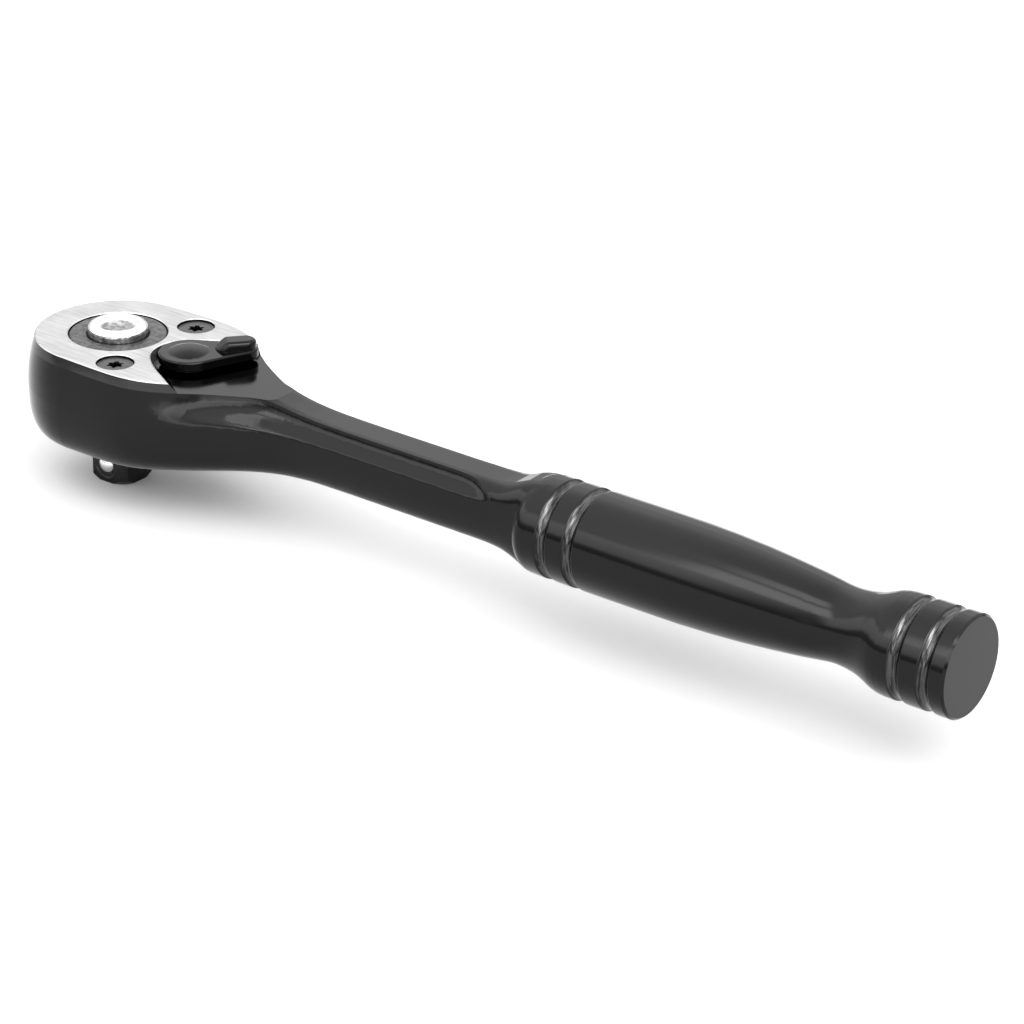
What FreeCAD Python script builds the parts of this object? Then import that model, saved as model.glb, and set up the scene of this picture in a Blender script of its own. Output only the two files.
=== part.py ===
import FreeCAD, Part
import math
import os

# Reversible quick-release ratchet wrench with a 1/4 inch square drive.
# Origin: centre of the drive's end face. +X runs to the grip end, +Z up to the cover plate. Millimetres.

V = FreeCAD.Vector
X_AXIS = V(1, 0, 0)
Y_AXIS = V(0, 1, 0)
Z_AXIS = V(0, 0, 1)

# ---- Head levels above the drive's end face ----
PLATE_TOP = 20.8
PLATE_THICK = 1.3
DECK = PLATE_TOP - PLATE_THICK
HEAD_BOTTOM = 7.25
HANDLE_Z = 14.08
RUN_GAP = 0.05

# ---- Forged body: outline along the handle as (X, value) tables ----
# Half width of the top face, half width at the ridge of the flank, ridge height, top and bottom levels.
TOP_HALF = [(0, 11.15), (4, 11.32), (8, 11.4), (10.5, 11.25), (13, 10.68), (15, 9.85), (17, 8.6),
            (18.5, 7.4), (20, 6.16), (22, 4.93), (24, 3.71), (26, 2.54), (27, 2.1), (28, 1.87), (29.5, 1.77),
            (31, 1.76), (36, 1.85), (63, 1.87), (68, 1.7), (72, 1.6)]
RIDGE_HALF = [(0, 12.1), (5, 12.12), (9, 12.05), (12, 11.65), (15, 10.75), (18, 9.45), (21, 8.0),
              (24, 6.65), (27, 5.5), (30, 4.7), (33, 4.2), (36, 3.95), (40, 3.85), (64, 3.85), (68, 4.0), (72, 4.3)]
RIDGE_Z = [(0, 14.2), (8, 14.2), (13, 14.5), (18, 15.1), (23, 15.65), (28, 15.95), (34, 16.1), (72, 16.1)]
TOP_Z = [(0, 21.3), (18, 21.3), (22, 20.9), (25, 20.3), (27, 19.85), (28.5, 19.53), (30, 19.25), (32, 18.96),
         (34, 18.74), (37, 18.58), (41, 18.53), (62, 18.5), (64, 18.55), (66, 18.78), (67, 19.05), (68, 19.48),
         (69, 19.93), (70, 20.2), (72, 20.3)]
BOTTOM_Z = [(0, 7.0), (7, 7.0), (12, 7.3), (16, 7.75), (20, 8.25), (24, 8.85), (28, 9.4), (31, 9.7),
            (35, 9.9), (40, 9.93), (62, 9.9), (64, 9.83), (66, 9.55), (67, 9.25), (68, 8.8), (69, 8.3),
            (70, 8.02), (72, 7.9)]
BOTTOM_HALF = [(0, 8.6), (8, 8.4), (12, 7.6), (16, 6.2), (20, 4.7), (24, 3.3), (28, 2.3), (32, 1.7),
               (36, 1.45), (72, 1.4)]
# Hollow of the flute between deck edge and ridge: 0 is full, 1 is the deepest flute.
FLUTE = [(0, 0.0), (10, 0.0), (13.5, 0.35), (17, 0.8), (21, 1.0), (72, 1.0)]
# Where the flute starts on the shoulder: 0 is at the top face, 1 is at the ridge.
FLUTE_START = [(0, 0.14), (60.0, 0.14), (61.2, 0.18), (62.2, 0.25), (63.1, 0.37), (63.8, 0.51), (64.4, 0.67),
               (64.9, 0.82), (65.6, 0.9), (72, 0.9)]
# Knots of the body's surfaces along the handle.
KNOTS = [0, 3, 6, 8, 10, 12, 14, 16, 18, 20, 22, 24, 26, 28, 30, 32, 35, 38, 43, 49, 54, 58, 60, 61.2,
         62, 62.7, 63.3, 63.9, 64.4, 64.9, 65.4, 66, 66.7, 67.4, 68.1, 68.9, 70, 72]

# Where those surfaces are divided into faces.
FACE_ENDS = [0, 6, 10, 13, 16, 19, 22, 25, 28, 31, 34, 37, 40, 44, 48, 52, 56, 60, 62, 63.5, 65, 67, 69, 72]

# ---- Turned grip: radius along the handle ----
BELL = [(67.9, 3.0), (68.5, 4.0), (69.1, 4.95), (69.7, 5.72), (70.4, 6.18), (71.4, 6.36)]
GRIP_R = 6.4
SWELL = [(88, 6.4), (91, 6.39), (95, 6.31), (99, 6.13), (103, 5.86), (107, 5.49), (111, 5.04), (114.3, 4.68),
         (116.2, 4.83), (118, 5.23), (119.4, 5.78), (120.3, 6.14), (121.4, 6.35)]
GRIP_END = 130.9
END_CHAMFER = 0.3
GROOVES_X = [74.25, 78.25, 124.1, 128.1]
GROOVE_HALF = 0.78
GROOVE_DEPTH = 0.48
LIP_R = 0.16

# ---- Cavities in the head ----
GEAR_CAVITY_R = 8.0
CAVITY_FLOOR = 12.2
LOWER_BORE_R = 5.56
POCKET_X = (5.0, 10.95)
POCKET_HALF_Y = 6.35
POCKET_Z = (12.55, 18.5)
SCREW_POS = [(6.73, -7.9), (6.73, 7.9)]
SCREW_WALL_R = 2.0
TAP_R = 1.5
TAP_BOTTOM = 12.6

# ---- Cover plate and its screws ----
PLATE_OPENING_R = 6.6
# Rear edge of the plate round the lever, from the centre line to past the wing tip: top edge, then foot.
REAR_TOP = [(7.42, 0.0), (7.73, 1.75), (8.62, 3.29), (9.5, 4.22), (10.55, 5.12), (11.75, 5.95), (13.45, 6.95),
            (15.15, 7.88), (16.65, 8.76), (18.3, 9.75)]
REAR_FOOT = [(8.14, 0.0), (8.41, 1.5), (9.1, 2.72), (9.95, 3.42), (10.9, 3.95), (12.1, 4.62), (13.6, 5.48),
             (15.3, 6.55), (17.0, 7.7), (18.9, 9.0)]
SCREW_HOLE_R = 2.5
SCREW_HEAD_R = 2.43
SCREW_SINK = 0.3
SCREW_BAND = 0.3
SCREW_SHANK_R = 1.45
SCREW_LENGTH = 7.0

# ---- Drive gear ----
TEETH = 72
TIP_R = 7.9
ROOT_R = 7.35
GEAR_Z = (12.52, 18.4)
JOURNAL_R = 6.52
JOURNAL_TOP = 20.6
LOWER_JOURNAL_R = 5.5
LOWER_JOURNAL_Z = 7.35
SQUARE = 6.35
SQUARE_CORNER_R = 3.95
SQUARE_CHAMFER = 0.6

# ---- Quick release ----
BUTTON_R = 4.03
BUTTON_TOP = 22.0
BUTTON_BOTTOM = 17.2
DISH_R = 2.65
DISH_STEP = 0.3
DISH_SAG = 0.35
STEM_R = 1.5
STEM_BOTTOM = 1.75
STEM_FLOOR = 0.6
SPRING_SEAT = 13.2
BALL_R = 1.6
BALL_Z = 2.6
BALL_OUT = 0.55
RAMP = 0.5

# ---- Pawl and selector ----
PAWL_PIVOT = V(9.6, 0, 0)
PAWL_SWING = 9.0
PAWL_Z = (12.75, 18.35)
PAWL_TEETH_SPAN = (21.0, 37.5)
MESH_GAP = 0.04
LEVER_PIVOT = V(12.54, 0, 0)
LEVER_SWING = 50.0
SHAFT_R = 2.0
SHAFT_BOTTOM = 9.2
PLUNGER_Z = 15.7
PLUNGER_R = 1.05
PLUNGER_REACH = 2.72
SWEEP_R = 2.95

# ---- Reverse lever ----
LEVER_Z = (20.05, 21.35)
LEVER_HUB_R = 4.05
LEVER_TIP_R = 1.7
LEVER_TIP_X = 7.4
DOME_R = 2.85
DOME_RISE = 0.72
PAD_R = 1.42
PAD_X = (4.75, 7.45)
PAD_SLOPE = 1.7
PAD_TOP = 22.6


def hermite(table, x):
    """Smooth monotone interpolation through a table of (x, value) pairs."""
    if x <= table[0][0]:
        return table[0][1]
    if x >= table[-1][0]:
        return table[-1][1]
    slopes = [(b[1] - a[1]) / (b[0] - a[0]) for a, b in zip(table, table[1:])]
    k = max(i for i in range(len(slopes)) if table[i][0] <= x)

    def tangent(i):
        if i == 0 or i == len(slopes) or slopes[i - 1] * slopes[i] <= 0:
            return 0.0
        return 2 * slopes[i - 1] * slopes[i] / (slopes[i - 1] + slopes[i])

    width = table[k + 1][0] - table[k][0]
    t = (x - table[k][0]) / width
    start = (1 + 2 * t) * (1 - t) ** 2 * table[k][1] + t * (1 - t) ** 2 * width * tangent(k)
    end = t * t * (3 - 2 * t) * table[k + 1][1] + t * t * (t - 1) * width * tangent(k + 1)
    return start + end


def blend(a, b, t):
    return a + (b - a) * t


def split_bezier(poles, t):
    """Both halves of a cubic Bezier curve cut at parameter t."""
    first, second = [poles[0]], [poles[-1]]
    work = list(poles)
    while len(work) > 1:
        work = [blend(a, b, t) for a, b in zip(work, work[1:])]
        first.append(work[0])
        second.insert(0, work[-1])
    return first, second


def bezier(poles):
    curve = Part.BezierCurve()
    curve.setPoles(poles)
    return curve.toShape()


def cylinder(radius, z0, z1, centre=V(0, 0, 0)):
    return Part.makeCylinder(radius, z1 - z0, V(centre.x, centre.y, z0), Z_AXIS)


def ring(inner, outer, z0, z1, centre=V(0, 0, 0)):
    return cylinder(outer, z0, z1, centre).cut(cylinder(inner, z0 - 1, z1 + 1, centre))


def turned(points, centre=V(0, 0, 0)):
    """Solid of revolution about the vertical through centre, from (radius, z) points."""
    wire = Part.makePolygon([V(r, 0, z) for r, z in points] + [V(points[0][0], 0, points[0][1])])
    solid = Part.Face(wire).revolve(V(0, 0, 0), Z_AXIS, 360)
    solid.translate(V(centre.x, centre.y, 0))
    return solid


def prism(points, z0, z1):
    wire = Part.makePolygon([V(x, y, z0) for x, y in points] + [V(points[0][0], points[0][1], z0)])
    return Part.Face(wire).extrude(V(0, 0, z1 - z0))


def about(shape, centre, degrees):
    turned_shape = shape.copy()
    turned_shape.rotate(centre, Z_AXIS, degrees)
    return turned_shape


def half_profile(x):
    """Right-hand outline curves of the body at x: shoulder, flute and flank, top to bottom."""
    top = V(x, hermite(TOP_HALF, x), hermite(TOP_Z, x))
    ridge = V(x, hermite(RIDGE_HALF, x), hermite(RIDGE_Z, x))
    low = V(x, hermite(BOTTOM_HALF, x), hermite(BOTTOM_Z, x))
    depth = hermite(FLUTE, x)
    start = hermite(FLUTE_START, x)
    step = V(0, ridge.y - top.y, 0)
    drop = V(0, 0, top.z - ridge.z)
    begin = top - V(0, min(0.35, 0.2 * top.y), 0)
    neckness = min(1.0, max(0.0, (x - 10.0) / 20.0))
    over = blend(0.35, 0.6, neckness)
    full = [begin, begin + step * over + V(0, 0.35, 0) - drop * blend(0.25, 0.02, neckness),
            ridge + drop * blend(0.4, 0.5, neckness), ridge]
    shoulder, tail = split_bezier(full, start)
    edge = tail[0]
    span = ridge - edge
    fade = 1.0 - min(1.0, max(0.0, (start - 0.14) / 0.7)) ** 1.5
    hollow = [edge, edge + V(0, 0.08 * span.y, 0.72 * span.z),
              ridge + V(0, -0.04 * span.y, -0.3 * span.z), ridge]
    flute = [blend(a, b, depth * fade) for a, b in zip(tail, hollow)]
    fall = ridge.z - low.z
    inset = ridge.y - low.y
    flank = [ridge, ridge - V(0, 0, 0.62 * fall), low + V(0, 0.85 * inset, 0), low]
    return shoulder, flute, flank


def stations():
    """Places along the handle at which a cubic surface on KNOTS has its poles."""
    full = [KNOTS[0]] * 3 + list(KNOTS) + [KNOTS[-1]] * 3
    return [sum(full[i + 1:i + 4]) / 3 for i in range(len(full) - 4)]


def strip(rows):
    """Smooth faces along the handle whose poles are the given rows, one row for each station."""
    across = len(rows[0]) - 1
    surface = Part.BSplineSurface()
    ends = [4] + [1] * (len(KNOTS) - 2) + [4]
    surface.buildFromPolesMultsKnots(rows, ends, [across + 1, across + 1], KNOTS, [0, 1],
                                     False, False, 3, across)
    return [surface.toShape(a, b, 0, 1) for a, b in zip(FACE_ENDS, FACE_ENDS[1:])]


def mirror_y(poles):
    return [V(p.x, -p.y, p.z) for p in poles]


def cap(curves):
    """Flat end face between the right-hand curves and their mirror images."""
    edges = [bezier(c) for c in curves] + [bezier(mirror_y(c)) for c in curves]
    edges.append(Part.makeLine(curves[0][0], mirror_y(curves[0])[0]))
    edges.append(Part.makeLine(curves[-1][-1], mirror_y(curves[-1])[-1]))
    return Part.Face(Part.Wire(Part.__sortEdges__(edges)))


def head_and_neck():
    """Solid from the drive axis to inside the grip, skinned over the half profiles."""
    profiles = [half_profile(x) for x in stations()]
    faces = [cap(profiles[0]), cap(profiles[-1])]
    for k in range(3):
        rows = [profile[k] for profile in profiles]
        faces += strip(rows)
        faces += strip([mirror_y(row) for row in rows])
    faces += strip([[p[0][0], mirror_y(p[0])[0]] for p in profiles])
    faces += strip([[p[-1][-1], mirror_y(p[-1])[-1]] for p in profiles])
    shell = Part.makeShell(faces)
    shell.sewShape()
    solid = Part.makeSolid(shell)
    if solid.Volume < 0:
        solid.reverse()
    return solid


def head_nose():
    """Front half of the head: the section at x = 0 turned about the drive axis."""
    shoulder, flute, flank = half_profile(0)
    top_centre = V(0, 0, shoulder[0].z)
    low_centre = V(0, 0, flank[-1].z)
    edges = [Part.makeLine(top_centre, shoulder[0]), bezier(shoulder), bezier(flute), bezier(flank),
             Part.makeLine(flank[-1], low_centre), Part.makeLine(low_centre, top_centre)]
    return Part.Face(Part.Wire(edges)).revolve(V(0, 0, 0), Z_AXIS, 180)


def grip():
    """Turned grip with its bell-shaped front, swelling waist and end collar."""
    def at(x, r):
        return V(x, 0, HANDLE_Z + r)

    bell = Part.BSplineCurve()
    bell.interpolate([at(x, r) for x, r in BELL], InitialTangent=V(1, 0, 1.7),
                     FinalTangent=V(1, 0, 0.05))
    swell = Part.BSplineCurve()
    swell.interpolate([at(x, r) for x, r in SWELL], InitialTangent=X_AXIS, FinalTangent=V(1, 0, 0.1))
    points = [at(SWELL[-1][0], SWELL[-1][1]), at(122.2, GRIP_R), at(GRIP_END - END_CHAMFER, GRIP_R),
              at(GRIP_END, GRIP_R - END_CHAMFER), at(GRIP_END, 0), at(BELL[0][0], 0),
              at(BELL[0][0], BELL[0][1])]
    edges = [bell.toShape(), Part.makeLine(at(71.4, 6.36), at(73, GRIP_R)),
             Part.makeLine(at(73, GRIP_R), at(88, GRIP_R)), swell.toShape()]
    edges += [Part.makeLine(a, b) for a, b in zip(points, points[1:])]
    turning = Part.Face(Part.Wire(edges)).revolve(V(0, 0, HANDLE_Z), X_AXIS, 360)
    turning = turning.cut([groove_cutter(x) for x in GROOVES_X])
    lips = [e for e in turning.Edges if any(abs(abs(e.Vertexes[0].X - x) - GROOVE_HALF) < 0.02
                                            for x in GROOVES_X) and isinstance(e.Curve, Part.Circle)]
    return turning.makeFillet(LIP_R, lips)


def groove_cutter(x):
    """Round-bottomed groove round the grip."""
    radius = (GROOVE_HALF ** 2 + GROOVE_DEPTH ** 2) / (2 * GROOVE_DEPTH)
    centre_r = GRIP_R - GROOVE_DEPTH + radius
    return Part.makeTorus(centre_r, radius, V(x, 0, HANDLE_Z), X_AXIS)


def head_cavities():
    """Everything bored or milled out of the head, as one list of cutters."""
    gear_well = cylinder(GEAR_CAVITY_R, CAVITY_FLOOR, DECK + 2)
    through = cylinder(LOWER_BORE_R, HEAD_BOTTOM - 2, DECK)
    pocket = Part.makeBox(POCKET_X[1] - POCKET_X[0], 2 * POCKET_HALF_Y, POCKET_Z[1] - POCKET_Z[0],
                          V(POCKET_X[0], -POCKET_HALF_Y, POCKET_Z[0]))
    for x, y in SCREW_POS:
        pocket = pocket.cut(cylinder(SCREW_WALL_R, 5, 25, V(x, y, 0)))
    sweep = cylinder(SWEEP_R, PLUNGER_Z - 1.25, PLUNGER_Z + 1.25, LEVER_PIVOT)
    sweep = sweep.common(Part.makeBox(4.0, 8.0, 8.0, V(LEVER_PIVOT.x - 3.6, -4.0, 12.0)))
    shaft = cylinder(SHAFT_R + RUN_GAP, SHAFT_BOTTOM - 0.2, DECK + 2, LEVER_PIVOT)
    seal_seat = cylinder(SHAFT_R + 0.95, DECK - 0.95, DECK + 2, LEVER_PIVOT)
    clip_groove = cylinder(SHAFT_R + 0.55, SHAFT_BOTTOM + 0.55, SHAFT_BOTTOM + 1.25, LEVER_PIVOT)
    cutters = [gear_well, through, pocket, sweep, shaft, seal_seat, clip_groove]
    for x, y in SCREW_POS:
        cutters.append(turned([(0, TAP_BOTTOM), (TAP_R, TAP_BOTTOM), (TAP_R, DECK - 0.4),
                               (TAP_R + 0.4, DECK), (TAP_R + 0.4, DECK + 2), (0, DECK + 2)],
                              V(x, y, 0)))
    return cutters


def head_blank():
    """Head and neck before the plate is parted off along the deck."""
    return head_and_neck().fuse(head_nose())


def wrench_body():
    body = head_blank().fuse(grip())
    body = body.cut(Part.makeBox(60, 40, 5, V(-20, -20, DECK)))
    body = body.cut(Part.makeBox(60, 40, 5, V(-20, -20, HEAD_BOTTOM - 5)))
    return body.cut(head_cavities())


def rear_wire(table, z):
    """Closed outline of everything in front of a rear edge, at one level."""
    half = [V(x, y, z) for x, y in table]
    edge = Part.BSplineCurve()
    edge.interpolate(mirror_y(half[:0:-1]) + half)
    corners = [half[-1], V(half[-1].x, 20, z), V(-20, 20, z), V(-20, -20, z), V(half[-1].x, -20, z),
               mirror_y([half[-1]])[0]]
    sides = [Part.makeLine(a, b) for a, b in zip(corners, corners[1:])]
    return Part.Wire([edge.toShape()] + sides)


def plate_blank():
    """Everything in front of the plate's sloping rear edge, which runs round the lever to the wing tips."""
    return Part.makeLoft([rear_wire(REAR_FOOT, DECK), rear_wire(REAR_TOP, PLATE_TOP)], True, True)


def top_edges(shape):
    """Edges lying in the plate's top face."""
    return [e for e in shape.Edges if min(v.Z for v in e.Vertexes) > PLATE_TOP - 1e-4]


def reach_y(edge):
    return max(abs(v.Y) for v in edge.Vertexes)


def cover_plate():
    """Plate parted off the head's own skin, so that its edge runs on into the flank."""
    plate = head_blank().common(plate_blank()).removeSplitter()
    plate = plate.makeChamfer(0.12, [e for e in top_edges(plate) if reach_y(e) > 10.5])
    plate = plate.makeChamfer(0.1, [e for e in top_edges(plate) if reach_y(e) < 9.5])
    opening = turned([(0, DECK - 1), (PLATE_OPENING_R, DECK - 1), (PLATE_OPENING_R, PLATE_TOP - 0.12),
                      (PLATE_OPENING_R + 0.15, PLATE_TOP + 0.03), (PLATE_OPENING_R + 0.15, PLATE_TOP + 1),
                      (0, PLATE_TOP + 1)])
    plate = plate.cut(opening)
    for x, y in SCREW_POS:
        sink = PLATE_THICK - SCREW_SINK - SCREW_BAND
        hole = [(0, DECK - 1), (SCREW_HOLE_R - sink, DECK - 1), (SCREW_HOLE_R - sink, DECK),
                (SCREW_HOLE_R, DECK + sink), (SCREW_HOLE_R, PLATE_TOP - 0.08),
                (SCREW_HOLE_R + 0.1, PLATE_TOP + 0.02), (SCREW_HOLE_R + 0.1, PLATE_TOP + 1),
                (0, PLATE_TOP + 1)]
        plate = plate.cut(turned(hole, V(x, y, 0)))
    return plate


def six_lobe(radius, depth, top):
    """Six-lobe driver recess as a cutter."""
    points = []
    for k in range(72):
        angle = math.radians(5 * k)
        r = radius * (0.84 + 0.16 * math.cos(6 * angle))
        points.append((r * math.cos(angle), r * math.sin(angle)))
    return prism(points, top - depth, top + 1)


def cover_screw():
    top = PLATE_TOP - SCREW_SINK
    seat = top - SCREW_BAND
    drop = SCREW_HEAD_R - SCREW_SHANK_R
    screw = turned([(0, top), (SCREW_HEAD_R - 0.1, top), (SCREW_HEAD_R, top - 0.1), (SCREW_HEAD_R, seat),
                    (SCREW_SHANK_R, seat - drop), (SCREW_SHANK_R, top - SCREW_LENGTH + 0.4),
                    (SCREW_SHANK_R - 0.4, top - SCREW_LENGTH), (0, top - SCREW_LENGTH)])
    return screw.cut(six_lobe(1.15, 1.1, top))


def cover_screws():
    screws = []
    for x, y in SCREW_POS:
        screw = cover_screw()
        screw.translate(V(x, y, 0))
        screws.append(screw)
    return Part.makeCompound(screws)


def gear_points(tip, root, land=0.16, gap=0.12):
    """Outline of the toothed rim; land and gap are the flat parts of a pitch at tip and root."""
    pitch = 2 * math.pi / TEETH
    points = []
    for k in range(TEETH):
        for r, offset in ((root, -0.5 + gap / 2), (tip, -land / 2), (tip, land / 2), (root, 0.5 - gap / 2)):
            angle = (k + offset) * pitch
            points.append((r * math.cos(angle), r * math.sin(angle)))
    return points


def square_drive():
    block = Part.makeBox(SQUARE, SQUARE, 12, V(-SQUARE / 2, -SQUARE / 2, 0))
    half = SQUARE_CORNER_R
    envelope = turned([(0, 0), (half - SQUARE_CHAMFER, 0), (half, SQUARE_CHAMFER), (half, 12), (0, 12)])
    return block.common(envelope)


def drive_gear():
    """Toothed rim, both journals and the square in one piece, bored for the release stem and ball."""
    rim = prism(gear_points(TIP_R, ROOT_R), GEAR_Z[0], GEAR_Z[1])
    upper = turned([(0, GEAR_Z[1] - 1), (JOURNAL_R, GEAR_Z[1] - 1), (JOURNAL_R, JOURNAL_TOP - 0.15),
                    (JOURNAL_R - 0.15, JOURNAL_TOP), (0, JOURNAL_TOP)])
    lower = cylinder(LOWER_JOURNAL_R, LOWER_JOURNAL_Z, GEAR_Z[0] + 1)
    gear = rim.fuse([upper, lower, square_drive()])
    gear = gear.cut(ring(LOWER_JOURNAL_R - 0.75, LOWER_JOURNAL_R + 1, 9.3, 10.5))
    bores = [turned([(0, SPRING_SEAT), (BUTTON_R + RUN_GAP, SPRING_SEAT),
                     (BUTTON_R + RUN_GAP, JOURNAL_TOP - 0.2),
                     (BUTTON_R + RUN_GAP + 0.25, JOURNAL_TOP + 0.05),
                     (BUTTON_R + RUN_GAP + 0.25, JOURNAL_TOP + 1), (0, JOURNAL_TOP + 1)]),
             cylinder(STEM_R + RUN_GAP, STEM_FLOOR, SPRING_SEAT + 1)]
    return gear.cut(bores + [ball_hole()])


def ball_hole():
    """Radial hole for the ball, narrowed at the mouth where it is staked."""
    face = SQUARE / 2
    mouth = 1.28
    profile = [(0, 0), (BALL_R + RUN_GAP, 0), (BALL_R + RUN_GAP, face - 0.45), (mouth, face),
               (mouth, face + 1), (0, face + 1)]
    hole = turned(profile)
    hole.rotate(V(0, 0, 0), X_AXIS, 90)
    hole.translate(V(0, 0, BALL_Z))
    return hole


def retaining_ball():
    return Part.makeSphere(BALL_R, V(0, BALL_R - SQUARE / 2 - BALL_OUT, BALL_Z))


def release_button():
    """Dished button and its stem; a sloping flat on the stem holds the ball out."""
    top = BUTTON_TOP
    head = cylinder(BUTTON_R, BUTTON_BOTTOM, top)
    head = head.makeFillet(0.75, [e for e in head.Edges if min(v.Z for v in e.Vertexes) > top - 1e-6])
    floor = top - DISH_STEP - DISH_SAG
    ball = (DISH_R ** 2 + DISH_SAG ** 2) / (2 * DISH_SAG)
    dish = Part.makeSphere(ball, V(0, 0, floor + ball)).common(cylinder(DISH_R, floor - 1, top + 1))
    head = head.cut(dish)
    head = head.makeFillet(0.12, [e for e in head.Edges if min(v.Z for v in e.Vertexes) > top - 1e-6
                                  and e.Length < 2 * math.pi * (DISH_R + 0.01)])
    stem = turned([(0, STEM_BOTTOM), (STEM_R - 0.3, STEM_BOTTOM), (STEM_R, STEM_BOTTOM + 0.3),
                   (STEM_R, BUTTON_BOTTOM + 0.5), (0, BUTTON_BOTTOM + 0.5)])
    base = BALL_R - SQUARE / 2 - BALL_OUT + (BALL_R + 0.02) * math.sqrt(1 + RAMP ** 2)
    flat = 0.15
    flat_z = BALL_Z + (flat - base) / RAMP
    ramp = [(-3, 1.0), (base + RAMP * (1.0 - BALL_Z), 1.0), (flat, flat_z), (flat, 5.5), (-1.35, 7.0),
            (-3, 7.0)]
    wire = Part.makePolygon([V(-2, y, z) for y, z in ramp] + [V(-2, ramp[0][0], ramp[0][1])])
    notch = Part.Face(wire).extrude(V(4, 0, 0))
    return head.fuse(stem.cut(notch))


def coil(radius, wire_r, z0, z1, turns):
    """Round-wire spring about Z whose wire stays between z0 and z1."""
    height = z1 - z0 - 2 * wire_r
    helix = Part.makeHelix(height / turns, height, radius)
    spine = Part.Wire(helix)
    start = spine.Edges[0].valueAt(spine.Edges[0].FirstParameter)
    direction = spine.Edges[0].tangentAt(spine.Edges[0].FirstParameter)
    circle = Part.Wire(Part.makeCircle(wire_r, start, direction))
    spring = spine.makePipeShell([circle], True, True)
    spring.translate(V(0, 0, z0 + wire_r))
    return spring


def release_spring():
    return coil(2.7, 0.25, SPRING_SEAT + 0.06, BUTTON_BOTTOM - 0.04, 4.5)


def thrust_washer():
    return ring(5.7, 7.7, CAVITY_FLOOR, GEAR_Z[0] - 0.02)


def o_ring(mean_r, cord_r, z, centre=V(0, 0, 0)):
    return Part.makeTorus(mean_r, cord_r, V(centre.x, centre.y, z), Z_AXIS)


def lower_seal():
    return o_ring(LOWER_JOURNAL_R - 0.37, 0.36, 9.9)


def upper_seal():
    return o_ring(JOURNAL_R + 0.5, 0.45, GEAR_Z[1] + 0.47)


def toothed_horn(side):
    """One end of the pawl, still in its engaged place, with the gear's rim cut into it."""
    low, high = PAWL_TEETH_SPAN
    steps = [low + (high - low) * k / 8 for k in range(9)]
    turns = [(math.cos(math.radians(a)), math.sin(math.radians(a)) * side) for a in steps]
    inner = [(7.3 * c, 7.3 * s) for c, s in turns]
    outer = [(9.2 * c, 9.2 * s) for c, s in reversed(turns)]
    horn = prism(inner + outer, PAWL_Z[0], PAWL_Z[1])
    gear = prism(gear_points(TIP_R + MESH_GAP, ROOT_R + MESH_GAP + 0.03, 0.26, 0.02), 12, 20)
    horn = horn.cut(gear)
    return about(horn, PAWL_PIVOT, -side * PAWL_SWING)


def pawl():
    """Rocking two-ended pawl, shown with its -Y end in mesh."""
    bridge = ring(8.3, 9.9, PAWL_Z[0], PAWL_Z[1])
    wedge = prism([(0, 0), (14, 8.4), (14, -8.4)], PAWL_Z[0], PAWL_Z[1])
    bridge = bridge.common(wedge).cut(cylinder(3.15, 5, 25, LEVER_PIVOT))
    part = bridge.fuse([toothed_horn(1), toothed_horn(-1)])
    rim = prism(gear_points(TIP_R + MESH_GAP, ROOT_R + MESH_GAP + 0.03, 0.26, 0.02), 12, 20)
    for side in (1, -1):
        part = part.cut(about(rim, PAWL_PIVOT, -side * PAWL_SWING))
    return about(part, PAWL_PIVOT, -PAWL_SWING)


def selector_shaft():
    """Shaft under the lever with the cross bore for the spring-loaded plunger and a domed rivet head."""
    top = LEVER_Z[1]
    shaft = turned([(0, SHAFT_BOTTOM), (SHAFT_R - 0.3, SHAFT_BOTTOM), (SHAFT_R, SHAFT_BOTTOM + 0.3),
                    (SHAFT_R, LEVER_Z[0] - 0.35), (3.3, LEVER_Z[0] - 0.25), (3.3, LEVER_Z[0]),
                    (1.6, LEVER_Z[0]), (1.6, top), (0, top)])
    shaft = shaft.cut(ring(SHAFT_R - 0.4, SHAFT_R + 1, SHAFT_BOTTOM + 0.6, SHAFT_BOTTOM + 1.2))
    ball = (DOME_R ** 2 + DOME_RISE ** 2) / (2 * DOME_RISE)
    dome = Part.makeSphere(ball, V(0, 0, top + DOME_RISE - ball)).common(cylinder(DOME_R, top, top + 2))
    shaft = shaft.fuse(dome)
    bore = Part.makeCylinder(PLUNGER_R + RUN_GAP, 4.0, V(1.15, 0, PLUNGER_Z), V(-1, 0, 0))
    shaft = shaft.cut(bore)
    shaft.translate(LEVER_PIVOT)
    return about(shaft, LEVER_PIVOT, LEVER_SWING)


def pawl_plunger():
    """Hollow cap that the selector spring pushes against the pawl's back."""
    body = Part.makeCylinder(PLUNGER_R, PLUNGER_REACH - 0.5 - 0.6, V(-0.6, 0, PLUNGER_Z), V(-1, 0, 0))
    nose = Part.makeSphere(1.45, V(-(PLUNGER_REACH - 1.45), 0, PLUNGER_Z))
    nose = nose.common(Part.makeCylinder(PLUNGER_R, 2.0, V(-1.4, 0, PLUNGER_Z), V(-1, 0, 0)))
    cap = body.fuse(nose)
    cap = cap.cut(Part.makeCylinder(0.8, 1.35, V(0, 0, PLUNGER_Z), V(-1, 0, 0)))
    cap.translate(LEVER_PIVOT)
    return about(cap, LEVER_PIVOT, LEVER_SWING)


def pawl_spring():
    spring = coil(0.6, 0.13, -1.1, 1.3, 5)
    spring.rotate(V(0, 0, 0), Y_AXIS, -90)
    spring.translate(V(0, 0, PLUNGER_Z))
    spring.translate(LEVER_PIVOT)
    return about(spring, LEVER_PIVOT, LEVER_SWING)


def shaft_seal():
    return o_ring(SHAFT_R + 0.47, 0.44, DECK - 0.5, LEVER_PIVOT)


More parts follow.
